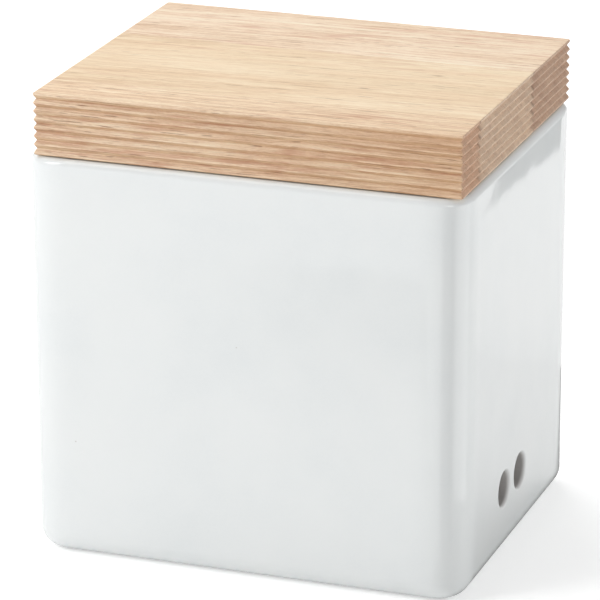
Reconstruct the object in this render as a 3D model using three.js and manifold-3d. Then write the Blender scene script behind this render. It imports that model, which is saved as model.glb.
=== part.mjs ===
// Ceramic canister: a glazed rectangular vessel with air holes, closed by a wooden
// lift-off lid glued up from three strips. Millimetres, +Z up. The origin is on the
// surface the canister stands on, under the middle of the vessel. The front is at -Y.
import * as THREE from 'three';
import * as BufferGeometryUtils from 'three/addons/utils/BufferGeometryUtils.js';
import Module from 'manifold-3d';

const wasm = await Module();
wasm.setup();

// ---------------------------------------------------------------- driving dimensions
// Vessel
const BODY_W = 132.8;          // X, at the rim
const BODY_D = 109.6;          // Y, at the rim
const BODY_H = 121.3;          // foot to rim
const DRAFT = 0.22;            // each side leans in by this much from rim to foot
const CORNER_R = 10.0;         // vertical corners
const FOOT_FILLET_R = 5.5;     // outer edge at the bottom
const WALL_T = 5.6;
const FLOOR_T = 6.4;           // top of the inside floor above the standing surface
const INNER_CORNER_R = 6.0;
const INNER_FILLET_R = 6.0;
const RIM_OUT_R = 2.2;         // rounding of the rim, outside
const RIM_IN_R = 2.0;          // rounding of the rim, inside
const FOOT_RING_W = 3.8;       // flat unglazed ring it stands on
const FOOT_RECESS = 1.3;       // depth of the hollow inside the foot ring
const FOOT_RING_R = 5.0;       // inner corners of the foot ring

// Air holes, low in both end walls
const VENT_R = 5.0;
const VENT_EDGE_R = 1.2;       // glazed, rounded outer edge of a hole
const VENT_INNER_EDGE_R = 0.8;
const VENT_Y = [-12.6, 2.9];
const VENT_Z = 21.0;

// Lid
const SEAT_GAP = 0.3;          // between rim and lid
const LID_W = 128.4;
const LID_D = 105.6;
const LID_T = 18.4;
const LID_SHIFT_X = 0.8;       // the lid lies this far to the right in its play
const LID_EDGE = 0.4;          // eased top and bottom edges
const GROOVE_COUNT = 7;
const GROOVE_PITCH = 2.46;
const GROOVE_DEPTH = 0.85;
const RIDGE_FLAT = 0.28;       // narrow flat on the crest of each ridge
const FRONT_STAVE_D = 16.2;    // depths of the front and rear strips; the rest is the middle one
const REAR_STAVE_D = 38.0;
const GLUE_LINE = 0.2;

// Plug under the lid, which keeps it in the mouth
const PLUG_DEPTH = 8.0;
const PLUG_PLAY = 3.4;         // plug face to vessel wall, seen from the middle
const PLUG_CORNER_R = 3.4;
const PLUG_EDGE = 0.8;

// Ring in a groove round the plug
const SEAL_GROOVE_W = 3.2;
const SEAL_GROOVE_DEPTH = 2.2;
const SEAL_GROOVE_TOP = 2.4;   // below the lid's underside
const SEAL_FIT = 0.3;          // free gap between ring and groove
const SEAL_WALL_GAP = 0.35;    // free gap between ring and vessel wall on the near side

// Fineness
const CORNER_STEPS = 8;
const ARC_STEPS = 6;
const VENT_STEPS = 28;

// ---------------------------------------------------------------- helpers
// One closed ring of points: a rectangle with rounded corners at height z.
function ring(halfX, halfY, r, z, steps = CORNER_STEPS) {
  const points = [];
  const centres = [[1, 1, 0], [-1, 1, 1], [-1, -1, 2], [1, -1, 3]];
  for (const [sx, sy, quarter] of centres) {
    for (let i = 0; i <= steps; i++) {
      const a = (quarter + i / steps) * Math.PI / 2;
      points.push([sx * (halfX - r) + r * Math.cos(a), sy * (halfY - r) + r * Math.sin(a), z]);
    }
  }
  return points;
}

// One closed ring with four sharp corners.
function sharpRing(halfX, halfY, z) {
  return [[halfX, halfY, z], [-halfX, halfY, z], [-halfX, -halfY, z], [halfX, -halfY, z]];
}

// Skin over rings in order. With caps, the first and last rings are closed by a fan
// each; without, the last ring joins the first, as for a hoop.
function skin(rings, caps = true) {
  const n = rings[0].length;
  const positions = [];
  const index = [];
  for (const r of rings) for (const p of r) positions.push(...p);
  const spans = caps ? rings.length - 1 : rings.length;
  for (let k = 0; k < spans; k++) {
    const a = k * n;
    const b = ((k + 1) % rings.length) * n;
    for (let i = 0; i < n; i++) {
      const j = (i + 1) % n;
      index.push(a + i, a + j, b + j, a + i, b + j, b + i);
    }
  }
  if (caps) {
    const first = positions.length / 3;
    positions.push(0, 0, rings[0][0][2]);
    const last = first + 1;
    positions.push(0, 0, rings[rings.length - 1][0][2]);
    const top = (rings.length - 1) * n;
    for (let i = 0; i < n; i++) {
      const j = (i + 1) % n;
      index.push(first, j, i);
      index.push(last, top + i, top + j);
    }
  }
  const geometry = new THREE.BufferGeometry();
  geometry.setAttribute('position', new THREE.Float32BufferAttribute(positions, 3));
  geometry.setIndex(index);
  return geometry;
}

function toSolid(geometry) {
  let g = geometry.clone();
  g.deleteAttribute('normal');
  g.deleteAttribute('uv');
  g = BufferGeometryUtils.mergeVertices(g, 1e-4);
  return new wasm.Manifold(new wasm.Mesh({
    numProp: 3,
    vertProperties: new Float32Array(g.attributes.position.array),
    triVerts: new Uint32Array(g.index.array),
  }));
}

function toGeometry(solid) {
  const m = solid.getMesh();
  const positions = new Float32Array((m.vertProperties.length / m.numProp) * 3);
  for (let i = 0; i < positions.length / 3; i++) {
    for (let c = 0; c < 3; c++) positions[i * 3 + c] = m.vertProperties[i * m.numProp + c];
  }
  const g = new THREE.BufferGeometry();
  g.setAttribute('position', new THREE.BufferAttribute(positions, 3));
  g.setIndex(new THREE.BufferAttribute(new Uint32Array(m.triVerts), 1));
  g.computeVertexNormals();
  return g;
}

function box(x0, x1, y0, y1, z0, z1) {
  const g = new THREE.BoxGeometry(x1 - x0, y1 - y0, z1 - z0);
  g.translate((x0 + x1) / 2, (y0 + y1) / 2, (z0 + z1) / 2);
  return g;
}

// ---------------------------------------------------------------- vessel
const outX = BODY_W / 2;
const outY = BODY_D / 2;
const lean = (z) => DRAFT * (1 - z / BODY_H);

function bodyRing(inset, z, r = CORNER_R - inset) {
  const d = inset + lean(z);
  return ring(outX - d, outY - d, r, z);
}

function innerRing(inset, z, r = INNER_CORNER_R - inset) {
  const d = WALL_T + inset + lean(z);
  return ring(outX - d, outY - d, Math.max(r, 0.6), z);
}

function bodyGeometry() {
  const rings = [];
  const ringIn = FOOT_FILLET_R + FOOT_RING_W;
  // underside, from the middle of the hollow outwards
  rings.push(bodyRing(ringIn + 2.2, FOOT_RECESS, FOOT_RING_R));
  rings.push(bodyRing(ringIn + 1.1, FOOT_RECESS * 0.8, FOOT_RING_R));
  rings.push(bodyRing(ringIn + 0.35, FOOT_RECESS * 0.25, FOOT_RING_R));
  rings.push(bodyRing(ringIn, 0, FOOT_RING_R));
  // foot ring, outer fillet, wall
  for (let i = 0; i <= ARC_STEPS; i++) {
    const t = (i / ARC_STEPS) * Math.PI / 2;
    rings.push(bodyRing(FOOT_FILLET_R * (1 - Math.sin(t)), FOOT_FILLET_R * (1 - Math.cos(t))));
  }
  // rim, outside to inside
  for (let i = 0; i <= 4; i++) {
    const t = (i / 4) * Math.PI / 2;
    rings.push(bodyRing(RIM_OUT_R * (1 - Math.cos(t)), BODY_H - RIM_OUT_R * (1 - Math.sin(t))));
  }
  for (let i = 0; i <= 4; i++) {
    const t = (i / 4) * Math.PI / 2;
    const back = RIM_IN_R * (1 - Math.sin(t));
    rings.push(innerRing(-back, BODY_H - RIM_IN_R * (1 - Math.cos(t)), INNER_CORNER_R + back * 0.9));
  }
  // inside wall, fillet, floor
  for (let i = 0; i <= ARC_STEPS; i++) {
    const t = (i / ARC_STEPS) * Math.PI / 2;
    rings.push(innerRing(INNER_FILLET_R * (1 - Math.cos(t)), FLOOR_T + INNER_FILLET_R * (1 - Math.sin(t))));
  }
  return skin(rings);
}

// A round cutter along X whose radius opens out at both faces of the wall, so the
// hole's edges come out rounded.
function ventCutter(side, y) {
  const face = outX - lean(VENT_Z);
  const inside = face - WALL_T;
  const profile = [[0, inside - 2.5], [VENT_R + VENT_INNER_EDGE_R, inside - 2.5]];
  for (let i = 0; i <= 3; i++) {
    const t = (i / 3) * Math.PI / 2;
    profile.push([VENT_R + VENT_INNER_EDGE_R * (1 - Math.sin(t)), inside + VENT_INNER_EDGE_R * (1 - Math.cos(t))]);
  }
  for (let i = 0; i <= 4; i++) {
    const t = (i / 4) * Math.PI / 2;
    profile.push([VENT_R + VENT_EDGE_R * (1 - Math.cos(t)), face - VENT_EDGE_R * (1 - Math.sin(t))]);
  }
  profile.push([VENT_R + VENT_EDGE_R, face + 2.5], [0, face + 2.5]);
  const g = new THREE.LatheGeometry(profile.map(([r, x]) => new THREE.Vector2(r, x)), VENT_STEPS);
  g.rotateZ(-Math.PI / 2 * side);
  g.translate(0, y, VENT_Z);
  return g;
}

let vessel = toSolid(bodyGeometry());
for (const side of [1, -1]) {
  for (const y of VENT_Y) vessel = vessel.subtract(toSolid(ventCutter(side, y)));
}

// ---------------------------------------------------------------- lid
const lidBottom = BODY_H + SEAT_GAP;
const lidTop = lidBottom + LID_T;

// The grooved block: sharp-cornered rings, so the grooves meet in clean mitres.
function lidBlock() {
  const levels = [[LID_EDGE, lidBottom]];
  const span = GROOVE_COUNT * GROOVE_PITCH;
  const low = (lidBottom + lidTop) / 2 - span / 2;   // height of the lowest crest
  for (let i = 0; i <= GROOVE_COUNT; i++) {
    const z = low + i * GROOVE_PITCH;
    levels.push([0, z - RIDGE_FLAT / 2], [0, z + RIDGE_FLAT / 2]);
    if (i < GROOVE_COUNT) levels.push([GROOVE_DEPTH, z + GROOVE_PITCH / 2]);
  }
  levels.push([LID_EDGE, lidTop]);
  return skin(levels.map(([inset, z]) => sharpRing(LID_W / 2 - inset, LID_D / 2 - inset, z)));
}

const plugX = outX - WALL_T - PLUG_PLAY;
const plugY = outY - WALL_T - PLUG_PLAY;

function plugBlock() {
  const r = (inset, z) => ring(plugX - inset, plugY - inset, Math.max(PLUG_CORNER_R - inset, 0.8), z, 5);
  const grooveTop = lidBottom - SEAL_GROOVE_TOP;
  return skin([
    r(PLUG_EDGE, lidBottom - PLUG_DEPTH),
    r(0, lidBottom - PLUG_DEPTH + PLUG_EDGE),
    r(0, grooveTop - SEAL_GROOVE_W),
    r(SEAL_GROOVE_DEPTH, grooveTop - SEAL_GROOVE_W),
    r(SEAL_GROOVE_DEPTH, grooveTop),
    r(0, grooveTop),
    r(0, lidBottom + 2),
  ]);
}

const lidSolid = toSolid(lidBlock()).add(toSolid(plugBlock()));
const jointFront = -LID_D / 2 + FRONT_STAVE_D;
const jointRear = LID_D / 2 - REAR_STAVE_D;
const g2 = GLUE_LINE / 2;
const cutStave = (y0, y1) => lidSolid.intersect(toSolid(box(-100, 100, y0, y1, lidBottom - 20, lidTop + 5)));
const staveFront = cutStave(-100, jointFront - g2);
const staveMiddle = cutStave(jointFront + g2, jointRear - g2);
const staveRear = cutStave(jointRear + g2, 100);

// ---------------------------------------------------------------- seal
function sealGeometry() {
  const top = lidBottom - SEAL_GROOVE_TOP - SEAL_FIT;
  const bottom = lidBottom - SEAL_GROOVE_TOP - SEAL_GROOVE_W + SEAL_FIT;
  const innerX = plugX - SEAL_GROOVE_DEPTH + SEAL_FIT;
  const innerY = plugY - SEAL_GROOVE_DEPTH + SEAL_FIT;
  const innerR = PLUG_CORNER_R - SEAL_GROOVE_DEPTH + SEAL_FIT;
  const outerX = outX - WALL_T - LID_SHIFT_X - SEAL_WALL_GAP;
  const outerY = outY - WALL_T - LID_SHIFT_X - SEAL_WALL_GAP;
  const grow = (outerX - innerX);
  const h = top - bottom;
  // section: solid bead in the groove, tapering to a lip towards the wall
  const section = [
    [0, bottom], [grow * 0.45, bottom], [grow * 0.8, bottom + h * 0.3], [grow, bottom + h * 0.5],
    [grow * 0.8, bottom + h * 0.75], [grow * 0.45, top], [0, top],
  ];
  const k = (outerY - innerY) / grow;
  return skin(section.map(([out, z]) => ring(innerX + out, innerY + out * k, innerR + out, z, 6)), false);
}

// ---------------------------------------------------------------- scene graph
const glaze = new THREE.MeshStandardMaterial({ color: 0xe9edec, roughness: 0.12, metalness: 0 });
const woodFront = new THREE.MeshStandardMaterial({ color: 0xdcb78c, roughness: 0.6, metalness: 0 });
const woodMiddle = new THREE.MeshStandardMaterial({ color: 0xe6c699, roughness: 0.6, metalness: 0 });
const woodRear = new THREE.MeshStandardMaterial({ color: 0xdfb893, roughness: 0.6, metalness: 0 });
const silicone = new THREE.MeshStandardMaterial({ color: 0xe4e4df, roughness: 0.45, metalness: 0 });

function mesh(name, geometry, material) {
  const m = new THREE.Mesh(geometry, material);
  m.name = name;
  return m;
}

const canister = new THREE.Group();
canister.add(mesh('ceramic_body', toGeometry(vessel), glaze));

const lid = new THREE.Group();
lid.position.x = LID_SHIFT_X;
lid.add(mesh('lid_stave_front', toGeometry(staveFront), woodFront));
lid.add(mesh('lid_stave_middle', toGeometry(staveMiddle), woodMiddle));
lid.add(mesh('lid_stave_rear', toGeometry(staveRear), woodRear));
lid.add(mesh('lid_seal', sealGeometry(), silicone));
canister.add(lid);

export default canister;
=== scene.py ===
import math

import bpy
import numpy as np
from mathutils import Matrix, Vector, noise


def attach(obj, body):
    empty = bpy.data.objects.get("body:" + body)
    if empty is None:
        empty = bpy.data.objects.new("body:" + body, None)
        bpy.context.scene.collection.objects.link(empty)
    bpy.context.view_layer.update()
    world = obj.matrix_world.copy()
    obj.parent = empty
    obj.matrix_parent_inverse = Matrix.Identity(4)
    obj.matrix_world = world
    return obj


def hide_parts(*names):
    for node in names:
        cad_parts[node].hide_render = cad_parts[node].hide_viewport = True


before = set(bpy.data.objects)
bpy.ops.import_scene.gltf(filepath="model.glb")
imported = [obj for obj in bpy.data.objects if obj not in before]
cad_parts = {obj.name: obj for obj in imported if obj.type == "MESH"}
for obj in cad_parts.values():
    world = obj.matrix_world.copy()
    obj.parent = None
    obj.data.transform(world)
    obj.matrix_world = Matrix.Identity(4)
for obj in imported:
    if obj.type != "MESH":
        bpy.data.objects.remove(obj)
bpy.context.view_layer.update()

MM = 0.001

# ------------------------------------------------------------------ dimensions, mm
BODY_W, BODY_D, BODY_H = 132.8, 109.6, 121.3
DRAFT = 0.22
CORNER_R = 10.0
FOOT_FILLET_R = 6.3
WALL_T = 5.6
FLOOR_T = 6.4
INNER_CORNER_R = 6.0
INNER_FILLET_R = 6.0
RIM_OUT_R = 2.2
RIM_IN_R = 2.0
FOOT_RING_W = 3.8
FOOT_RECESS = 1.3
FOOT_RING_R = 5.0
VENT_R = 5.0
VENT_EDGE_R = 1.2
VENT_INNER_EDGE_R = 0.8
VENT_WIDE = 1.13
VENT_Y = (-12.6, 2.9)
VENT_Z = 21.0
CELL = 15.5                      # square field of wall round each hole

SEAT_GAP = 0.3
LID_W, LID_D, LID_T = 128.4, 105.6, 18.4
LID_SHIFT_X = 0.8
LID_EDGE = 0.4
GROOVE_COUNT = 7
GROOVE_PITCH = 2.46
GROOVE_DEPTH = 0.85
RIDGE_FLAT = 0.28
FRONT_STAVE_D, REAR_STAVE_D = 16.2, 38.0
PLUG_DEPTH = 8.0
PLUG_PLAY = 3.4
PLUG_CORNER_R = 3.4
PLUG_EDGE = 0.8
SEAL_GROOVE_W, SEAL_GROOVE_DEPTH, SEAL_GROOVE_TOP = 3.2, 2.2, 2.4
SEAL_FIT = 0.3
SEAL_WALL_GAP = 0.35

HX, HY = BODY_W / 2, BODY_D / 2
LID_BOTTOM = BODY_H + SEAT_GAP
LID_TOP = LID_BOTTOM + LID_T


# ------------------------------------------------------------------ camera
def make_camera():
    data = bpy.data.cameras.new("camera")
    data.lens = 244.652
    data.sensor_width = 36.0
    data.clip_start, data.clip_end = 0.05, 60.0
    cam = bpy.data.objects.new("camera", data)
    bpy.context.scene.collection.objects.link(cam)
    right = Vector((0.94157044, 0.33681097, -0.00186298))
    down = Vector((0.10894872, -0.30979561, -0.94454055))
    ahead = Vector((-0.31870877, 0.8891485, -0.32838951))
    m = Matrix.Identity(4)
    for i in range(3):
        m[i][0], m[i][1], m[i][2] = right[i], -down[i], -ahead[i]
    m.translation = Vector((0.3836546, -1.0747681, 0.4644424))
    cam.matrix_world = m
    bpy.context.scene.camera = cam
    return cam


make_camera()


# ------------------------------------------------------------------ mesh helpers
def link_mesh(name, verts, faces, mats, face_mats=None, normals=None, sharp_deg=None):
    """A mesh object from points in mm."""
    me = bpy.data.meshes.new(name)
    me.from_pydata([tuple(c * MM for c in v) for v in verts], [], faces)
    me.update()
    for m in mats:
        me.materials.append(m)
    if face_mats is not None:
        me.polygons.foreach_set("material_index", np.array(face_mats, np.int32))
    me.polygons.foreach_set("use_smooth", np.ones(len(me.polygons), bool))
    if sharp_deg is not None:
        me.set_sharp_from_angle(angle=math.radians(sharp_deg))
    if normals is not None:
        me.normals_split_custom_set_from_vertices([tuple(n) for n in normals])
    me.update()
    ob = bpy.data.objects.new(name, me)
    bpy.context.scene.collection.objects.link(ob)
    return ob


def split(a, b, n):
    return [a + (b - a) * i / n for i in range(n + 1)]


# ------------------------------------------------------------------ ceramic vessel
CORNER_SEGS = 18
CELL_SEGS = 14
WIDE_SEGS = 36
END_A, END_C = 8, 11             # columns of the end walls before and after the two cells


def end_columns(half_len):
    """Y positions along an end wall, with the same absolute columns round the holes."""
    y0 = VENT_Y[0] - CELL / 2
    cells = split(y0, y0 + 2 * CELL, 2 * CELL_SEGS)
    return split(-half_len, y0, END_A)[:-1] + cells + split(y0 + 2 * CELL, half_len, END_C)[1:]


def plan(hx, hy, r):
    """One rounded rectangle, anticlockwise from the front end of the +X wall.
    Returns points and outward directions. Near a corner the directions turn gradually,
    so the reflections run softly from the flat wall into the corner."""
    pts, nrm = [], []
    ys = end_columns(hy - r)
    xs = split(hx - r, -(hx - r), WIDE_SEGS)
    w = 0.8 * r
    turn = math.pi / 2

    def ease(d):
        return max(w - d, 0.0) ** 3 / (6 * w * w * r)

    def add(x, y, a):
        pts.append((x, y))
        nrm.append((math.cos(a), math.sin(a)))

    def wall(places, start):
        for x, y in places:
            since = math.dist((x, y), places[0])
            left = math.dist((x, y), places[-1])
            add(x, y, start - ease(since) + ease(left))

    def corner(sx, sy, start):
        for i in range(1, CORNER_SEGS):
            a = turn * i / CORNER_SEGS
            add(sx * (hx - r) + r * math.cos(start + a), sy * (hy - r) + r * math.sin(start + a),
                start + a + ease(a * r) - ease((turn - a) * r))

    wall([(hx, y) for y in ys], 0.0)
    corner(1, 1, 0.0)
    wall([(x, hy) for x in xs], turn)
    corner(-1, 1, turn)
    wall([(-hx, y) for y in reversed(ys)], 2 * turn)
    corner(-1, -1, 2 * turn)
    wall([(x, -hy) for x in reversed(xs)], 3 * turn)
    corner(1, -1, 3 * turn)
    return pts, nrm


def vessel_rows():
    """Section of the vessel from the middle of the underside, round the outside, over
    the rim and down the inside: (inset, z, corner radius, out, up, name)."""
    rows = []
    ring_in = FOOT_FILLET_R + FOOT_RING_W

    def add(inset, z, r, out, up, name=""):
        rows.append((inset, z, r, out, up, name))

    # hollow of the underside, and its soft step down to the foot ring
    add(ring_in + 12.0, FOOT_RECESS + 0.25, FOOT_RING_R, 0.0, -1.0, "under")
    add(ring_in + 6.0, FOOT_RECESS + 0.1, FOOT_RING_R, -0.02, -1.0, "under")
    add(ring_in + 2.6, FOOT_RECESS, FOOT_RING_R, -0.08, -1.0, "under")
    n = 8
    for i in range(n + 1):
        t = i / n
        s = t * t * (3 - 2 * t)
        slope = 6 * t * (1 - t) * (FOOT_RECESS - 0.12) / 2.2
        k = math.hypot(1, slope)
        add(ring_in + 2.2 * (1 - t) + 0.12, FOOT_RECESS * (1 - s) + 0.12 * s, FOOT_RING_R,
            -slope / k, -1 / k, "under")
    # wiped foot ring: the bare clay stands a glaze thickness below the glaze
    add(ring_in, 0.03, FOOT_RING_R, -0.5, -0.87, "lip")
    add(ring_in - 0.08, 0.0, FOOT_RING_R, 0.0, -1.0, "foot")
    add(ring_in - 1.0, 0.0, FOOT_RING_R + 0.6, 0.0, -1.0, "foot")
    add(FOOT_FILLET_R + 1.2, 0.0, CORNER_R - FOOT_FILLET_R - 0.6, 0.0, -1.0, "foot")
    add(FOOT_FILLET_R + 0.14, 0.0, CORNER_R - FOOT_FILLET_R, 0.0, -1.0, "foot")
    add(FOOT_FILLET_R - 0.02, 0.05, CORNER_R - FOOT_FILLET_R, 0.3, -0.95, "lip")
    n = 18
    for i in range(n + 1):
        t = (i / n) * math.pi / 2
        inset = FOOT_FILLET_R * (1 - math.sin(t))
        z = FOOT_FILLET_R * (1 - math.cos(t))
        if i < 3:
            z = max(z, 0.06 + 0.03 * i)
        add(inset, z, CORNER_R - inset, math.sin(t), -math.cos(t), "out")
    z0, z1 = VENT_Z - CELL / 2, VENT_Z + CELL / 2
    for z in split(FOOT_FILLET_R, z0, 3)[1:-1]:
        add(0, z, CORNER_R, 1, 0, "out")
    for z in split(z0, z1, CELL_SEGS):
        add(0, z, CORNER_R, 1, 0, "cell_out")
    top = BODY_H - RIM_OUT_R
    for z in split(z1, top, 26)[1:]:
        add(0, z, CORNER_R, 1, 0, "out")
    n = 10
    for i in range(1, n + 1):
        t = (i / n) * math.pi / 2
        inset = RIM_OUT_R * (1 - math.cos(t))
        add(inset, BODY_H - RIM_OUT_R * (1 - math.sin(t)), CORNER_R - inset, math.cos(t), math.sin(t), "rim")
    for i in range(n + 1):
        t = (i / n) * math.pi / 2
        back = RIM_IN_R * (1 - math.sin(t))
        add(WALL_T - back, BODY_H - RIM_IN_R * (1 - math.cos(t)), INNER_CORNER_R + back * 0.9,
            -math.sin(t), math.cos(t), "rim")
    top = BODY_H - RIM_IN_R
    for z in split(top, z1, 26)[1:-1]:
        add(WALL_T, z, INNER_CORNER_R, -1, 0, "in")
    for z in reversed(split(z0, z1, CELL_SEGS)):
        add(WALL_T, z, INNER_CORNER_R, -1, 0, "cell_in")
    n = 14
    for i in range(n + 1):
        t = (i / n) * math.pi / 2
        inset = INNER_FILLET_R * (1 - math.cos(t))
        add(WALL_T + inset, FLOOR_T + INNER_FILLET_R * (1 - math.sin(t)),
            max(INNER_CORNER_R - inset, 0.6), -math.cos(t), math.sin(t), "in")
    for step in (2.0, 8.0, 18.0):
        add(WALL_T + INNER_FILLET_R + step, FLOOR_T, 0.6, 0, 1, "in")
    return rows


def lean(z):
    return DRAFT * (1 - z / BODY_H)


def wide(c, v):
    """The rear hole of each pair is drawn out a little toward the back."""
    return VENT_WIDE if v == 1 and c > 0 else 1.0


def build_vessel(mats):
    rows = vessel_rows()
    verts, normals, faces, face_mats = [], [], [], []
    width = None
    for inset, z, r, out, up, name in rows:
        d = inset + lean(z)
        pts, nrm = plan(HX - d, HY - d, r)
        width = len(pts)
        for (x, y), (nx, ny) in zip(pts, nrm):
            verts.append((x, y, z))
            k = math.hypot(out, up)
            normals.append((nx * out / k, ny * out / k, up / k))

    n_end = END_A + 2 * CELL_SEGS + END_C + 1
    left = n_end + (CORNER_SEGS - 1) + (WIDE_SEGS + 1) + (CORNER_SEGS - 1)
    cell_cols = set(range(END_A, END_A + 2 * CELL_SEGS))
    cell_cols |= set(range(left + END_C, left + END_C + 2 * CELL_SEGS))
    for k in range(len(rows) - 1):
        a, b = k * width, (k + 1) * width
        in_cell = rows[k][5] == rows[k + 1][5] and rows[k][5] in ("cell_out", "cell_in")
        bare = rows[k][5] in ("foot", "lip") and rows[k + 1][5] in ("foot", "lip")
        for i in range(width):
            if in_cell and i in cell_cols:
                continue
            j = (i + 1) % width
            faces.append((a + i, a + j, b + j, b + i))
            face_mats.append(1 if bare else 0)
    # the flat underside and the flat inner floor, each a fan round its middle
    last = (len(rows) - 1) * width
    for first, z, up in ((0, rows[0][1], -1), (last, rows[-1][1], 1)):
        middle = len(verts)
        verts.append((0.0, 0.0, z))
        normals.append((0.0, 0.0, float(up)))
        for i in range(width):
            edge = (first + i, first + (i + 1) % width)
            faces.append((*(edge if up > 0 else edge[::-1]), middle))
            face_mats.append(0)

    out_rows = [k for k, row in enumerate(rows) if row[5] == "cell_out"]
    in_rows = [k for k, row in enumerate(rows) if row[5] == "cell_in"][::-1]
    n = CELL_SEGS
    for side in (1, -1):
        for v, yc in enumerate(VENT_Y):
            # grid indices round the cell: bottom, +Y side, top, -Y side
            loop = [(i, 0) for i in range(n)] + [(n, i) for i in range(n)]
            loop += [(n - i, n) for i in range(n)] + [(0, n - i) for i in range(n)]

            def column(i):
                c = v * n + i
                return END_A + c if side > 0 else left + END_C + (2 * n - c)

            edge_out = [out_rows[j] * width + column(i) for i, j in loop]
            edge_in = [in_rows[j] * width + column(i) for i, j in loop]
            count = len(loop)
            angle = [math.radians(225) + 2 * math.pi * q / count for q in range(count)]

            def ring(radius, depth, out, inward, blend_from=None, w=1.0):
                first = len(verts)
                for q in range(count):
                    y = yc + radius * math.cos(angle[q]) * wide(math.cos(angle[q]), v)
                    z = VENT_Z + radius * math.sin(angle[q])
                    if blend_from is not None:
                        b = verts[blend_from[q]]
                        y, z = b[1] + (y - b[1]) * w, b[2] + (z - b[2]) * w
                    x = HX - lean(z) - depth
                    verts.append((side * x, y, z))
                    normals.append((side * out, -inward * math.cos(angle[q]), -inward * math.sin(angle[q])))
                return list(range(first, first + count))

            rings = [edge_out]
            r_out = VENT_R + VENT_EDGE_R
            for w in (0.3, 0.62, 0.86):
                rings.append(ring(r_out, 0.0, 1, 0, edge_out, w))
            m = 9
            for i in range(m + 1):
                t = (i / m) * math.pi / 2
                rings.append(ring(r_out - VENT_EDGE_R * math.sin(t), VENT_EDGE_R * (1 - math.cos(t)),
                                  math.cos(t), math.sin(t)))
            deep = WALL_T - VENT_INNER_EDGE_R
            for d in split(VENT_EDGE_R, deep, 4)[1:-1]:
                rings.append(ring(VENT_R, d, 0, 1))
            m = 6
            for i in range(m + 1):
                t = (i / m) * math.pi / 2
                rings.append(ring(VENT_R + VENT_INNER_EDGE_R * (1 - math.cos(t)),
                                  deep + VENT_INNER_EDGE_R * math.sin(t), -math.sin(t), math.cos(t)))
            for w in (0.66, 0.33):
                rings.append(ring(VENT_R + VENT_INNER_EDGE_R, WALL_T, -1, 0, edge_in, w))
            rings.append(edge_in)
            for a, b in zip(rings, rings[1:]):
                for q in range(count):
                    p = (q + 1) % count
                    quad = (a[q], a[p], b[p], b[q])
                    faces.append(quad if side > 0 else quad[::-1])
                    face_mats.append(0)

    used = sorted({i for f in faces for i in f})
    again = {old: new for new, old in enumerate(used)}
    verts = [verts[i] for i in used]
    normals = [normals[i] for i in used]
    faces = [tuple(again[i] for i in f) for f in faces]
    return link_mesh("canister_body", verts, faces, mats, face_mats, normals)


# ------------------------------------------------------------------ wooden lid
def groove_levels():
    """(inset, z) down the grooved edge of the lid from its top face to its underside,
    with round crests and narrow valleys."""
    half = GROOVE_PITCH / 2
    flank = math.atan2(GROOVE_DEPTH, half - RIDGE_FLAT / 2)     # from vertical
    crest_r = (RIDGE_FLAT / 2) / math.tan(flank / 2)
    valley_r = 0.11
    low = (LID_BOTTOM + LID_TOP) / 2 - GROOVE_COUNT * half
    out = []
    edge_r = LID_EDGE
    top_crest = low + GROOVE_COUNT * GROOVE_PITCH
    for i in range(6):
        t = (i / 5) * math.pi / 2
        out.append((edge_r * (1 - math.sin(t)), LID_TOP - edge_r * (1 - math.cos(t))))
    for g in range(GROOVE_COUNT, -1, -1):
        z = low + g * GROOVE_PITCH
        n = 8
        for i in range(n + 1):
            a = -flank + 2 * flank * i / n          # up to down over the crest
            if g == GROOVE_COUNT and a < 0:
                continue
            if g == 0 and a > 0:
                continue
            out.append((crest_r * (1 - math.cos(a)), z - crest_r * math.sin(a)))
        if g > 0:
            zv = z - half
            # V sides come down to a small round bottom
            back = valley_r * (1 / math.cos(flank) - 1)
            for i in range(5):
                a = flank - 2 * flank * i / 4
                depth = GROOVE_DEPTH - back - valley_r + valley_r * math.cos(a)
                out.append((depth, zv + valley_r * math.sin(a)))
    for i in range(1, 6):
        t = (i / 5) * math.pi / 2
        out.append((edge_r * (1 - math.cos(t)), LID_BOTTOM + edge_r * (1 - math.sin(t))))
    return out


def plug_levels():
    """(inset, z) down the side of the plug, with the groove for the ring."""
    top = LID_BOTTOM - SEAL_GROOVE_TOP
    low = top - SEAL_GROOVE_W
    e = 0.18
    out = [(0.0, LID_BOTTOM), (0.0, top + e), (0.06, top + 0.05), (e, top),
           (SEAL_GROOVE_DEPTH - 0.1, top), (SEAL_GROOVE_DEPTH, top - 0.1),
           (SEAL_GROOVE_DEPTH, low + 0.1), (SEAL_GROOVE_DEPTH - 0.1, low),
           (e, low), (0.06, low - 0.05), (0.0, low - e)]
    bottom = LID_BOTTOM - PLUG_DEPTH
    for i in range(7):
        t = (i / 6) * math.pi / 2
        out.append((PLUG_EDGE * (1 - math.cos(t)), bottom + PLUG_EDGE * (1 - math.sin(t))))
    return out


PLUG_X = HX - WALL_T - PLUG_PLAY
PLUG_Y = HY - WALL_T - PLUG_PLAY
LID_SEGS_X, LID_CORNER_SEGS = 60, 6


def wander(k, u, v):
    """Small unevenness of a milled and sanded edge, mm."""
    p = Vector((u * 0.055, v * 0.055, k * 7.31))
    q = Vector((u * 0.35, v * 0.35, k * 3.77 + 40.0))
    return 0.035 * noise.noise(p) + 0.014 * noise.noise(q)


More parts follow.
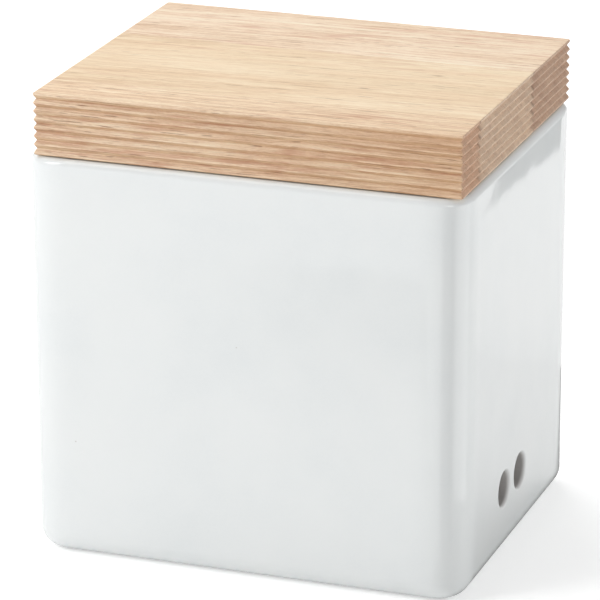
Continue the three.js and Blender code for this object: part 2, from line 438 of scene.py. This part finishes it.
def u_path(hx, hy, r, y_joint, front, n_end):
    """Open path round the front (or rear) of the lid from the joint on the +X side to
    the joint on the -X side. Points are (x, y)."""
    s = -1 if front else 1
    pts = [(hx, y) for y in split(y_joint, s * (hy - r), n_end)]
    for i in range(1, LID_CORNER_SEGS):
        a = (math.pi / 2) * i / LID_CORNER_SEGS
        pts.append((hx - r + r * math.cos(a), s * (hy - r + r * math.sin(a))))
    pts += [(x, s * hy) for x in split(hx - r, -(hx - r), LID_SEGS_X)]
    for i in range(1, LID_CORNER_SEGS):
        a = (math.pi / 2) * (1 - i / LID_CORNER_SEGS)
        pts.append((-(hx - r + r * math.cos(a)), s * (hy - r + r * math.sin(a))))
    pts += [(-hx, y) for y in split(s * (hy - r), y_joint, n_end)]
    return pts


def build_end_stave(name, y_joint, front, mats):
    hx, hy = LID_W / 2, LID_D / 2
    n_end = 8 if front else 19
    verts, faces = [], []
    levels = []
    for k, (inset, z) in enumerate(groove_levels()):
        r = max(0.75 - inset, 0.06)
        path = u_path(hx - inset, hy - inset, r, y_joint, front, n_end)
        row = []
        for x, y in path:
            w = wander(k // 3, x, y)
            # push along the outward direction, and leave the joint plane alone
            if abs(abs(x) - (hx - inset)) < 1e-6:
                x -= math.copysign(w, x)
            elif abs(abs(y) - (hy - inset)) < 1e-6:
                y -= math.copysign(w, y)
            row.append((x + LID_SHIFT_X, y, z))
        levels.append(row)
    for inset, z in plug_levels():
        r = max(PLUG_CORNER_R - inset, 0.8)
        path = u_path(PLUG_X - inset, PLUG_Y - inset, r, y_joint, front, n_end)
        levels.append([(x + LID_SHIFT_X, y, z) for x, y in path])
    n = len(levels[0])
    for row in levels:
        verts.extend(row)
    for k in range(len(levels) - 1):
        a, b = k * n, (k + 1) * n
        for i in range(n - 1):
            quad = (a + i, b + i, b + i + 1, a + i + 1)
            faces.append(quad if not front else quad[::-1])
    top = tuple(range(n))
    bottom = tuple(range((len(levels) - 1) * n, len(levels) * n))
    joint = tuple(k * n for k in range(len(levels))) + tuple(k * n + n - 1 for k in reversed(range(len(levels))))
    faces.append(top if not front else top[::-1])
    faces.append(bottom[::-1] if not front else bottom)
    faces.append(joint[::-1] if not front else joint)
    return link_mesh(name, verts, faces, mats, sharp_deg=38)


def build_middle_stave(name, y0, y1, mats):
    hx = LID_W / 2
    n_len = 26
    section = [(k, hx - inset, z) for k, (inset, z) in enumerate(groove_levels())]
    plug = [(None, PLUG_X - inset, z) for inset, z in plug_levels()]
    right = section + plug
    rows = []
    for y in split(y0, y1, n_len):
        line = []
        for k, x, z in right:
            w = wander(k // 3, x, y) if k is not None else 0.0
            line.append((x - w + LID_SHIFT_X, y, z))
        for k, x, z in reversed(right):
            w = wander(k // 3, -x, y) if k is not None else 0.0
            line.append((-(x - w) + LID_SHIFT_X, y, z))
        rows.append(line)
    n = len(rows[0])
    verts = [p for line in rows for p in line]
    faces = []
    for q in range(n_len):
        a, b = q * n, (q + 1) * n
        for i in range(n):
            j = (i + 1) % n
            faces.append((a + i, a + j, b + j, b + i))
    faces.append(tuple(reversed(range(n))))
    faces.append(tuple(n_len * n + i for i in range(n)))
    return link_mesh(name, verts, faces, mats, sharp_deg=38)


def build_seal(name, mats):
    top = LID_BOTTOM - SEAL_GROOVE_TOP - SEAL_FIT
    bottom = LID_BOTTOM - SEAL_GROOVE_TOP - SEAL_GROOVE_W + SEAL_FIT
    ix = PLUG_X - SEAL_GROOVE_DEPTH + SEAL_FIT
    iy = PLUG_Y - SEAL_GROOVE_DEPTH + SEAL_FIT
    ir = PLUG_CORNER_R - SEAL_GROOVE_DEPTH + SEAL_FIT
    reach = HX - WALL_T - LID_SHIFT_X - SEAL_WALL_GAP - ix
    h = top - bottom
    # base in the groove, and two thin lips that reach for the wall
    section = [(0.0, 0.2), (0.06, 0.06), (0.2, 0.0), (1.75, 0.0), (1.92, 0.06), (2.05, 0.22),
               (2.6, 0.34), (3.5, 0.5), (3.95, 0.62), (4.12, 0.74), (4.15, 0.86), (4.06, 0.96), (3.9, 0.98),
               (3.2, 0.94), (2.5, 0.96), (2.2, 1.04), (2.08, 1.2), (2.08, 1.4), (2.2, 1.56),
               (2.5, 1.64), (3.2, 1.7), (3.9, 1.84), (4.08, 1.92), (4.15, 2.04), (4.1, 2.16), (3.92, 2.22),
               (3.3, 2.24), (2.6, 2.3), (2.1, 2.42), (1.92, 2.54), (1.75, 2.6), (0.2, 2.6), (0.06, 2.54), (0.0, 2.4)]
    rings = []
    for out, z in section:
        o, zz = out / 4.15 * reach, z / 2.6 * h
        hx, hy, r = ix + o, iy + o, ir + o
        pts = []
        for sx, sy, quarter in ((1, 1, 0), (-1, 1, 1), (-1, -1, 2), (1, -1, 3)):
            for i in range(11):
                a = (quarter + i / 10) * math.pi / 2
                pts.append((sx * (hx - r) + r * math.cos(a) + LID_SHIFT_X,
                            sy * (hy - r) + r * math.sin(a), bottom + zz))
        rings.append(pts)
    n = len(rings[0])
    verts = [p for ring in rings for p in ring]
    faces = []
    for k in range(len(rings)):
        a, b = k * n, ((k + 1) % len(rings)) * n
        for i in range(n):
            j = (i + 1) % n
            faces.append((a + i, a + j, b + j, b + i))
    return link_mesh(name, verts, faces, mats, sharp_deg=60)


# ------------------------------------------------------------------ node helpers
class Nodes:
    """A short way to write a node tree."""

    def __init__(self, name):
        self.mat = bpy.data.materials.new(name)
        self.mat.use_nodes = True
        self.tree = self.mat.node_tree
        self.tree.nodes.clear()
        self.out = self.tree.nodes.new("ShaderNodeOutputMaterial")
        self.count = 0

    def new(self, kind, **sets):
        n = self.tree.nodes.new("ShaderNode" + kind)
        self.count += 1
        n.location = (-220 * (self.count % 12), -260 * (self.count // 12))
        for k, v in sets.items():
            setattr(n, k, v)
        return n

    def link(self, a, b):
        self.tree.links.new(a, b)

    def put(self, socket, value):
        if isinstance(value, bpy.types.NodeSocket):
            self.link(value, socket)
        else:
            socket.default_value = value

    def math(self, op, a, b=None, c=None, clamp=False):
        n = self.new("Math", operation=op, use_clamp=clamp)
        self.put(n.inputs[0], a)
        if b is not None:
            self.put(n.inputs[1], b)
        if c is not None:
            self.put(n.inputs[2], c)
        return n.outputs[0]

    def vmath(self, op, a, b=None, scale=None):
        n = self.new("VectorMath", operation=op)
        self.put(n.inputs[0], a)
        if b is not None:
            self.put(n.inputs[1], b)
        if scale is not None:
            self.put(n.inputs["Scale"], scale)
        return n.outputs["Value"] if op in ("DOT_PRODUCT", "LENGTH", "DISTANCE") else n.outputs["Vector"]

    def noise(self, vec, scale=1.0, detail=2.0, rough=0.5, distortion=0.0, dims="3D"):
        n = self.new("TexNoise", noise_dimensions=dims)
        self.put(n.inputs["Vector"], vec)
        n.inputs["Scale"].default_value = scale
        n.inputs["Detail"].default_value = detail
        n.inputs["Roughness"].default_value = rough
        n.inputs["Distortion"].default_value = distortion
        return n.outputs["Fac"]

    def ramp(self, value, stops, interp="LINEAR"):
        """Colour ramp. stops: (position, (r, g, b))."""
        n = self.new("ValToRGB")
        n.color_ramp.interpolation = interp
        els = n.color_ramp.elements
        while len(els) < len(stops):
            els.new(0.5)
        for e, (p, c) in zip(els, stops):
            e.position = p
            e.color = (*c, 1.0)
        self.put(n.inputs["Fac"], value)
        return n.outputs["Color"]

    def span(self, value, lo, hi, to_lo=0.0, to_hi=1.0, smooth=True):
        n = self.new("MapRange", clamp=True)
        n.interpolation_type = "SMOOTHSTEP" if smooth else "LINEAR"
        self.put(n.inputs["Value"], value)
        self.put(n.inputs["From Min"], lo)
        self.put(n.inputs["From Max"], hi)
        self.put(n.inputs["To Min"], to_lo)
        self.put(n.inputs["To Max"], to_hi)
        return n.outputs["Result"]

    def mix(self, fac, a, b, blend="MIX"):
        n = self.new("Mix", data_type="RGBA", blend_type=blend)
        self.put(n.inputs["Factor"], fac)
        for s, v in ((n.inputs[6], a), (n.inputs[7], b)):
            if isinstance(v, bpy.types.NodeSocket):
                self.link(v, s)
            else:
                s.default_value = (*v, 1.0)
        return n.outputs[2]

    def mm_coords(self, scale=(1, 1, 1), offset=(0, 0, 0)):
        """Place on the piece in mm, times scale."""
        tc = self.new("TexCoord")
        m = self.new("Mapping")
        m.inputs["Scale"].default_value = tuple(1000.0 * s for s in scale)
        m.inputs["Location"].default_value = offset
        self.link(tc.outputs["Object"], m.inputs["Vector"])
        return m.outputs["Vector"]

    def bump(self, height, distance, strength=1.0, normal=None):
        n = self.new("Bump")
        n.inputs["Strength"].default_value = strength
        n.inputs["Distance"].default_value = distance
        self.put(n.inputs["Height"], height)
        if normal is not None:
            self.link(normal, n.inputs["Normal"])
        return n.outputs["Normal"]

    def shader(self, **sets):
        n = self.new("BsdfPrincipled")
        for k, v in sets.items():
            s = n.inputs[k.replace("_", " ")]
            if isinstance(v, bpy.types.NodeSocket):
                self.link(v, s)
            elif isinstance(v, tuple) and len(v) == 3 and s.type == "RGBA":
                s.default_value = (*v, 1.0)
            else:
                s.default_value = v
        self.link(n.outputs[0], self.out.inputs["Surface"])
        return n


def srgb(r, g, b):
    def f(c):
        c /= 255.0
        return c / 12.92 if c <= 0.04045 else ((c + 0.055) / 1.055) ** 2.4
    return (f(r), f(g), f(b))


# ------------------------------------------------------------------ materials
# painted shade inside the air holes: the depth where it begins, and its colour
BORE_SHADE_FROM = -0.35                # depth in mm where the tone of a hole begins
BORE_SHADE_TONE = (0.53, 0.51, 0.495)


def make_glaze():
    g = Nodes("white_glaze")
    p = g.mm_coords()
    # cloudy tone of a white glaze over a white body, and a few grey specks
    cloud = g.noise(p, scale=0.035, detail=3.0, rough=0.55)
    fine = g.noise(p, scale=1.1, detail=2.0, rough=0.6)
    tone = g.math("ADD", g.math("MULTIPLY", cloud, 0.8), g.math("MULTIPLY", fine, 0.2))
    colour = g.ramp(tone, [(0.30, (0.790, 0.816, 0.818)), (0.5, (0.816, 0.838, 0.836)), (0.72, (0.832, 0.850, 0.845))])
    speck = g.new("TexVoronoi", feature="F1", distance="EUCLIDEAN")
    g.link(p, speck.inputs["Vector"])
    speck.inputs["Scale"].default_value = 0.11
    speck.inputs["Randomness"].default_value = 1.0
    rare = g.math("GREATER_THAN", g.vmath("DOT_PRODUCT", speck.outputs["Color"], (0.34, 0.33, 0.33)), 0.66)
    dot = g.span(speck.outputs["Distance"], 0.016, 0.034, 1.0, 0.0)
    mark = g.math("MULTIPLY", g.math("MULTIPLY", dot, rare), 0.5)
    colour = g.mix(mark, colour, (0.42, 0.38, 0.33))
    # painted shade down the air holes: inside each hole the glaze colour is darkened toward a grey
    at = g.new("SeparateXYZ")
    g.link(p, at.inputs["Vector"])
    depth = g.math("SUBTRACT", HX - lean(VENT_Z), g.math("ABSOLUTE", at.outputs[0]))
    away = None
    for yc in VENT_Y:
        flat = g.new("CombineXYZ")
        g.link(g.math("SUBTRACT", at.outputs[1], yc + 0.5), flat.inputs[1])
        g.link(g.math("SUBTRACT", at.outputs[2], VENT_Z), flat.inputs[2])
        r = g.vmath("LENGTH", flat.outputs[0])
        away = r if away is None else g.math("MINIMUM", away, r)
    bore_shade = g.math("MULTIPLY", g.span(depth, BORE_SHADE_FROM, BORE_SHADE_FROM + 1.3, smooth=False), g.span(away, VENT_R + 0.2, VENT_R + 1.3, 1.0, 0.0))
    colour = g.mix(bore_shade, colour, BORE_SHADE_TONE)
    # the glaze flows: long soft waves, and a fine skin
    wave = g.noise(g.mm_coords(scale=(1, 1, 0.7)), scale=0.045, detail=1.5, rough=0.45)
    skin = g.noise(p, scale=0.55, detail=2.0, rough=0.5)
    n1 = g.bump(wave, 0.00007, 1.0)
    n2 = g.bump(skin, 0.0000035, 1.0, n1)
    rough = g.span(g.noise(p, scale=0.12, detail=3.0), 0.3, 0.7, 0.030, 0.050)
    g.shader(Base_Color=colour, Roughness=rough, Normal=n2, IOR=1.52, Metallic=0.0)
    return g.mat


def make_bare_clay():
    g = Nodes("bare_clay")
    p = g.mm_coords()
    grit = g.noise(p, scale=2.6, detail=4.0, rough=0.65)
    stain = g.noise(p, scale=0.12, detail=3.0, rough=0.6)
    tone = g.math("ADD", g.math("MULTIPLY", grit, 0.55), g.math("MULTIPLY", stain, 0.45))
    colour = g.ramp(tone, [(0.3, srgb(196, 188, 176)), (0.55, srgb(222, 217, 208)), (0.75, srgb(232, 228, 220))])
    n = g.bump(grit, 0.00012, 0.8)
    g.shader(Base_Color=colour, Roughness=g.span(grit, 0.3, 0.7, 0.78, 0.92), Normal=n, IOR=1.5)
    return g.mat


# painted shade for the front and back faces of the lid, as the light falls off from left to right
SIDE_SHADE_TINTS = ((0.935, 0.925, 0.945), (0.85, 0.78, 0.74))     # left end, right end
# painted shade for faces of the lid that look down, such as the lower flanks of the grooves
UNDER_SHADE_TINT = (0.80, 0.745, 0.67)


def make_wood(name, seed, tones, red, red_amount, flecks, streak, fine, tilt, end_tints, joints):
    """Light hardwood with its grain along X. Everything is one solid 3-D pattern, so the
    long faces show streaks and the ends show the same wood cut across."""
    g = Nodes(name)
    raw = g.mm_coords()
    off = (seed * 37.0, seed * 11.3, seed * 5.7)
    base = g.vmath("ADD", raw, off)
    # slow wander of the grain along the board, and its small tilt
    bend = g.new("TexNoise", noise_dimensions="3D")
    g.link(g.vmath("MULTIPLY", base, (0.011, 0.035, 0.035)), bend.inputs["Vector"])
    bend.inputs["Scale"].default_value = 1.0
    bend.inputs["Detail"].default_value = 2.5
    shift = g.vmath("MULTIPLY", g.vmath("SUBTRACT", bend.outputs["Color"], (0.5, 0.5, 0.5)), (0.0, 4.0, 4.0))
    sep = g.new("SeparateXYZ")
    g.link(g.vmath("ADD", base, shift), sep.inputs["Vector"])
    x, y, z = sep.outputs
    comb = g.new("CombineXYZ")
    g.link(x, comb.inputs[0])
    g.link(g.math("MULTIPLY_ADD", x, -tilt, y), comb.inputs[1])
    g.link(g.math("MULTIPLY_ADD", x, tilt * 0.4, z), comb.inputs[2])
    p = comb.outputs[0]

    def fibres(along, across, detail=2.0, rough=0.5, shift_by=0.0):
        if across > 0.5:
            across *= fine
        v = g.vmath("MULTIPLY", p, (along, across, across))
        if shift_by:
            v = g.vmath("ADD", v, (shift_by, shift_by * 1.7, shift_by * 0.6))
        return g.noise(v, detail=detail, rough=rough)

    board = fibres(0.010, 0.075, 2.0, 0.5)
    broad = fibres(0.022, 0.30, 2.0, 0.55, 3.1)
    long_l = fibres(0.006, 0.92, 2.0, 0.55, 5.3)
    lines = fibres(0.045, 0.85, 2.0, 0.60, 7.7)
    short = fibres(0.18, 1.75, 2.0, 0.60, 12.3)
    hair = fibres(0.85, 3.4, 1.0, 0.5, 17.9)
    parts = ((board, 0.34 if seed > 1.5 else 0.14), (broad, 0.28 * streak), (long_l, 0.50 * streak), (lines, 0.38 * streak),
             (short, 0.40 * streak), (hair, 0.26 * streak))
    tone = 0.5 - 0.5 * sum(w for _, w in parts)
    for value, w in parts:
        tone = g.math("MULTIPLY_ADD", value, w, tone)
    dark, mid, light, pale = tones
    colour = g.ramp(tone, [(0.28, dark), (0.44, mid), (0.56, light), (0.72, pale)])
    # warm and cool drift across the board, and reddish smears in zones
    drift = g.span(fibres(0.018, 0.22, 2.0, 0.55, 71.0), 0.34, 0.66)
    colour = g.mix(1.0, colour, g.ramp(drift, [(0.0, (1.0, 1.0, 1.0)), (1.0, (1.0, 0.972, 0.962))]), "MULTIPLY")
    zone = g.span(fibres(0.012, 0.11, 1.0, 0.5, 21.0), 0.46, 0.60)
    line = g.span(fibres(0.065, 0.62, 3.0, 0.65, 27.0), 0.48, 0.66)
    colour = g.mix(g.math("MULTIPLY", g.math("MULTIPLY", zone, line), red_amount), colour, red)
    # thin pale lines
    pale_l = g.span(fibres(0.022, 1.0, 2.0, 0.5, 33.0), 0.61, 0.74)
    colour = g.mix(g.math("MULTIPLY", pale_l, 0.40), colour, pale)
    # vessels: many faint short lines, and a few strong ones in loose groups
    faint = g.span(fibres(0.20, 2.1, 1.0, 0.4, 41.0), 0.60, 0.76)
    colour = g.mix(g.math("MULTIPLY", faint, 0.34 * flecks), colour, srgb(172, 124, 92))
    group = g.span(fibres(0.022, 0.20, 1.0, 0.5, 47.0), 0.45, 0.60)
    strong = g.math("MULTIPLY", g.span(fibres(0.135, 1.45, 1.0, 0.35, 53.0), 0.645, 0.74), group)
    colour = g.mix(g.math("MULTIPLY", strong, 0.74 * flecks), colour, srgb(136, 92, 64))
    # end grain drinks more oil and reads darker, greyer and pinker, and more even
    geo = g.new("NewGeometry")
    nsep = g.new("SeparateXYZ")
    g.link(geo.outputs["Normal"], nsep.inputs["Vector"])
    end = g.span(g.math("ABSOLUTE", nsep.outputs[0]), 0.60, 0.78)
    middle_tone = tuple((m + n) / 2 for m, n in zip(mid, light))
    even = g.mix(0.55, colour, middle_tone)
    cloud = fibres(0.02, 0.24, 3.0, 0.6, 61.0)
    end_tint = g.ramp(cloud, [(0.34, end_tints[0]), (0.66, end_tints[1])])
    ended = g.mix(1.0, even, end_tint, "MULTIPLY")
    pores = g.span(fibres(0.3, 1.1 / fine, 2.0, 0.7, 67.0), 0.54, 0.70)
    ended = g.mix(g.math("MULTIPLY", pores, 0.26), ended, srgb(140, 100, 84))
    # the strip edges are denser and show as a dark line down the end face
    rsep = g.new("SeparateXYZ")
    g.link(raw, rsep.inputs["Vector"])
    for at in joints:
        d = g.math("ABSOLUTE", g.math("SUBTRACT", rsep.outputs[1], at))
        near = g.span(d, 0.2, 1.6, 1.0, 0.0)
        blot = g.span(g.noise(raw, scale=0.42, detail=2.0), 0.36, 0.60)
        ended = g.mix(g.math("MULTIPLY", g.math("MULTIPLY", near, blot), 0.4), ended, srgb(120, 90, 75))
    colour = g.mix(end, colour, ended)
    # painted shade on the milled edge: its front and back faces darken from the left end to the right end, as the
    # light falls off
    side = g.span(g.math("ABSOLUTE", nsep.outputs[1]), 0.35, 0.75)
    rx = g.new("SeparateXYZ")
    g.link(raw, rx.inputs["Vector"])
    side_shade = g.ramp(g.span(rx.outputs[0], -55.0, 55.0, smooth=False), [(0.0, SIDE_SHADE_TINTS[0]), (1.0, SIDE_SHADE_TINTS[1])])
    colour = g.mix(side, colour, g.mix(1.0, colour, side_shade, "MULTIPLY"))
    # painted shade: faces that look down, such as the lower flanks of the grooves, are darkened as they get less light
    down = g.math("MULTIPLY", nsep.outputs[2], -1.0)
    under = g.math("MULTIPLY", g.span(down, 0.12, 0.50), g.span(down, 0.90, 0.98, 1.0, 0.0))
    colour = g.mix(under, colour, g.mix(1.0, colour, UNDER_SHADE_TINT, "MULTIPLY"))
    # surface: raised fibres, open vessels
    height = g.math("MULTIPLY_ADD", hair, 0.5, g.math("MULTIPLY", short, 0.5))
    height = g.math("SUBTRACT", height, g.math("MULTIPLY", g.math("ADD", g.math("MULTIPLY", faint, 0.4), strong), 0.8))
    n = g.bump(height, 0.00007, 0.9)
    rough = g.span(g.math("MULTIPLY_ADD", strong, 0.4, hair), 0.3, 0.9, 0.50, 0.66)
    g.shader(Base_Color=colour, Roughness=rough, Normal=n, IOR=1.45)
    return g.mat


def make_silicone():
    g = Nodes("clear_silicone")
    p = g.mm_coords()
    dust = g.noise(p, scale=0.9, detail=3.0, rough=0.6)
    colour = g.ramp(dust, [(0.35, (0.74, 0.745, 0.735)), (0.65, (0.80, 0.805, 0.795))])
    n = g.bump(dust, 0.00001, 0.6)
    g.shader(Base_Color=colour, Roughness=g.span(dust, 0.3, 0.7, 0.34, 0.46), Normal=n, IOR=1.41,
             Subsurface_Weight=0.25, Subsurface_Radius=(0.0016, 0.0016, 0.0015), Subsurface_Scale=1.0)
    return g.mat


glaze = make_glaze()
clay = make_bare_clay()
joint_front = -LID_D / 2 + FRONT_STAVE_D
joint_rear = LID_D / 2 - REAR_STAVE_D
wood_front = make_wood("wood_front", 1.0,
                       (srgb(203, 165, 130), srgb(230, 200, 167), srgb(246, 221, 189), srgb(253, 239, 210)),
                       srgb(203, 149, 119), 0.60, 1.0, 0.93, 1.65, 0.008,
                       ((0.685, 0.591, 0.582), (0.824, 0.716, 0.717)), (joint_front,))
wood_middle = make_wood("wood_middle", 2.0,
                        (srgb(213, 182, 145), srgb(235, 209, 175), srgb(245, 223, 191), srgb(253, 237, 209)),
                        srgb(214, 171, 138), 0.36, 0.55, 0.72, 1.0, 0.055,
                        ((0.723, 0.677, 0.722), (0.844, 0.812, 0.866)), (joint_front, joint_rear))
wood_rear = make_wood("wood_rear", 3.0,
                      (srgb(211, 178, 146), srgb(236, 209, 180), srgb(247, 225, 198), srgb(253, 241, 216)),
                      srgb(212, 161, 134), 0.56, 0.80, 0.90, 1.0, 0.040,
                      ((0.583, 0.501, 0.491), (0.698, 0.618, 0.605)), (joint_rear,))
silicone = make_silicone()

# ------------------------------------------------------------------ pieces
half_glue = 0.01                 # glued up tight

body = build_vessel([glaze, clay])
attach(body, "canister")
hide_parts("ceramic_body")

stave_f = build_end_stave("stave_front", joint_front - half_glue, True, [wood_front])
stave_m = build_middle_stave("stave_middle", joint_front + half_glue, joint_rear - half_glue, [wood_middle])
stave_r = build_end_stave("stave_rear", joint_rear + half_glue, False, [wood_rear])
for ob, node in ((stave_f, "lid_stave_front"), (stave_m, "lid_stave_middle"), (stave_r, "lid_stave_rear")):
    mod = ob.modifiers.new("even_normals", "WEIGHTED_NORMAL")
    mod.mode = "FACE_AREA_WITH_ANGLE"
    mod.keep_sharp = True
    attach(ob, "lid")
    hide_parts(node)

seal = build_seal("lid_seal_ring", [silicone])
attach(seal, "lid")
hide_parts("lid_seal")


# ------------------------------------------------------------------ floor and light
def make_floor(name, glow):
    me = bpy.data.meshes.new(name)
    s = 6.0
    me.from_pydata([(-s, -s, 0), (s, -s, 0), (s, s, 0), (-s, s, 0)], [], [(0, 1, 2, 3)])
    ob = bpy.data.objects.new(name, me)
    bpy.context.scene.collection.objects.link(ob)
    g = Nodes(name)
    g.shader(Base_Color=(FLOOR_WHITE,) * 3, Roughness=0.8, IOR=1.2,
             Emission_Color=(1.0, 1.0, 1.0), Emission_Strength=glow)
    me.materials.append(g.mat)
    return ob


FLOOR_WHITE = 0.92


def floor_card(name, outline, shade, glow=0.0, mask=None, height=0.6):
    """A flat card on the floor that only shows as a reflection. Outline in mm. With a
    mask it blends softly into the white of the floor."""
    me = bpy.data.meshes.new(name)
    me.from_pydata([(x * MM, y * MM, height * MM) for x, y in outline], [], [tuple(range(len(outline)))])
    ob = bpy.data.objects.new(name, me)
    bpy.context.scene.collection.objects.link(ob)
    g = Nodes(name)
    colour = (shade, shade, shade)
    if mask is not None:
        at = g.new("SeparateXYZ")
        g.link(g.mm_coords(), at.inputs["Vector"])
        fac = mask(g, at.outputs[0], at.outputs[1])
        colour = g.ramp(fac, [(0.0, (FLOOR_WHITE,) * 3), (1.0, colour)])
    g.shader(Base_Color=colour, Roughness=0.9, IOR=1.3,
             Emission_Color=(1.0, 1.0, 1.0), Emission_Strength=glow)
    me.materials.append(g.mat)
    ob.visible_camera = ob.visible_diffuse = ob.visible_shadow = False
    return ob


def soft_light(name, place, aim, size, watts, colour=(1, 1, 1)):
    data = bpy.data.lights.new(name, "AREA")
    data.shape = "RECTANGLE"
    data.size, data.size_y = size
    data.energy = watts
    data.color = colour
    ob = bpy.data.objects.new(name, data)
    bpy.context.scene.collection.objects.link(ob)
    ob.location = place
    ob.rotation_mode = "QUATERNION"
    ob.rotation_quaternion = (Vector(aim) - Vector(place)).to_track_quat("-Z", "Y")
    ob.visible_camera = False
    return ob


# the floor that lights the object, and the same floor as the camera sees it, with a paler shadow
make_floor("floor", 0.09).visible_camera = False
seen = make_floor("floor_seen", 0.36)
seen.location.z = 0.05 * MM
seen.visible_diffuse = seen.visible_glossy = seen.visible_shadow = False
floor_card("card_strip", [(163, 460), (164, 392), (165, 375), (167, 354), (168, 331), (168, 290),
                          (171, 316), (173, 330), (178, 342), (195, 350), (195, 460)], 0.05)


def sector(az0, az1, near, far):
    """Part of a ring on the floor round the front right corner of the body."""
    pts = []
    for az, r in ((az0, near), (az0, far), ((az0 + az1) / 2, far), (az1, far), (az1, near), ((az0 + az1) / 2, near)):
        a = math.radians(az)
        pts.append((HX - 4 + r * math.sin(a), -HY + 4 - r * math.cos(a)))
    return pts


def foot_mask(g, x, y):
    """Darkens the foot of the end wall, as high as 30 mm at the front and 8 mm at the back."""
    corner = g.new("CombineXYZ")
    g.link(g.math("SUBTRACT", x, HX - 4), corner.inputs[0])
    g.link(g.math("ADD", y, HY - 7), corner.inputs[1])
    up = g.math("MINIMUM", g.math("MULTIPLY_ADD", x, 1 / 0.96, -HX / 0.96),
                g.math("DIVIDE", g.vmath("LENGTH", corner.outputs[0]), 2.87))
    along = g.math("MULTIPLY_ADD", up, -3.04, y)
    reach = g.math("MAXIMUM", g.math("MULTIPLY_ADD", along, -0.25, 15.0), 6.0)
    return g.span(g.math("DIVIDE", up, reach), 0.0, 1.0, 1.0, 0.0)


def front_mask(g, x, y):
    """Covers the middle height of the front's right half, as seen in the glaze."""
    across = g.math("MULTIPLY_ADD", g.math("ADD", y, HY), -0.356, x)
    ragged = g.math("MULTIPLY", g.math("SUBTRACT", g.noise(g.mm_coords(), scale=0.03, detail=3.0), 0.5), 40.0)
    far = g.span(g.math("ADD", y, ragged), -332.0, -322.0)
    near = g.span(y, -300.0, -150.0, 1.0, 0.0)
    return g.math("MULTIPLY", g.math("MULTIPLY", far, near), g.span(across, -45.0, 50.0))


floor_card("card_far", [(160, 460), (230, 460), (2990, 4500), (1056, 4500)], 0.45)
floor_card("card_foot", [(HX - 4, -HY - 24), (HX + 100, -HY - 24), (HX + 100, 150), (HX - 4, 150)], 0.14, mask=foot_mask)
floor_card("card_front", [(-130, -345), (20, -345), (60, -140), (-130, -140)], 0.25, mask=front_mask)
floor_card("card_front_right", sector(23, 62, 14, 520), 0.05, height=0.8)
floor_card("card_right", sector(70, 118, 80, 520), 0.8, 1.0, height=0.8)


def shade_net(name, x, y0, y1, z0, z1, hold):
    """A net beside the left wall, which stands nearest the lamps. It holds back a share of
    their light and can't be seen."""
    me = bpy.data.meshes.new(name)
    me.from_pydata([(x * MM, y * MM, z * MM) for y, z in ((y0, z0), (y1, z0), (y1, z1), (y0, z1))],
                   [], [(0, 1, 2, 3)])
    ob = bpy.data.objects.new(name, me)
    bpy.context.scene.collection.objects.link(ob)
    g = Nodes(name)
    g.shader(Base_Color=(0.02, 0.02, 0.02), Roughness=1.0, Alpha=hold)
    me.materials.append(g.mat)
    ob.visible_camera = ob.visible_diffuse = ob.visible_glossy = False


shade_net("net_left", -HX - 1.2, -HY + 4, HY + 1, 1, BODY_H - 1.5, 0.40)
world = bpy.data.worlds.new("studio")
world.use_nodes = True
world.node_tree.nodes["Background"].inputs[0].default_value = (1, 1, 1, 1)
world.node_tree.nodes["Background"].inputs[1].default_value = 0.31
bpy.context.scene.world = world

def studio_lamp(name, azimuth, elevation, distance, size, watts, colour=(1, 1, 1)):
    """A soft box aimed at the middle of the object. Azimuth 0 is in front of it, 90 is at
    its right end."""
    a, e = math.radians(azimuth), math.radians(elevation)
    aim = Vector((0, 0, 0.07))
    place = aim + distance * Vector((math.sin(a) * math.cos(e), -math.cos(a) * math.cos(e), math.sin(e)))
    return soft_light(name, place, aim, size, watts, colour)


studio_lamp("key_near", -50, 35, 1.1, (0.4, 0.5), 3.9)
studio_lamp("key_high", -60, 65, 3.2, (1.4, 1.0), 10.7)
studio_lamp("front_low", -36, 7, 1.1, (0.6, 0.3), 0.72)
studio_lamp("front_right_low", 45, 7, 3.2, (1.0, 0.6), 12.3)
studio_lamp("fill_right", 125, 15, 1.1, (0.35, 0.5), 2.95).visible_glossy = False
studio_lamp("top", 0, 88, 3.2, (2.2, 2.2), 5.5)
studio_lamp("back_left_high", -125, 55, 3.2, (2.6, 2.2), 50.2)

scene = bpy.context.scene
scene.view_settings.view_transform = "Standard"
scene.view_settings.look = "None"
scene.view_settings.exposure = 0.0
scene.view_settings.gamma = 1.0
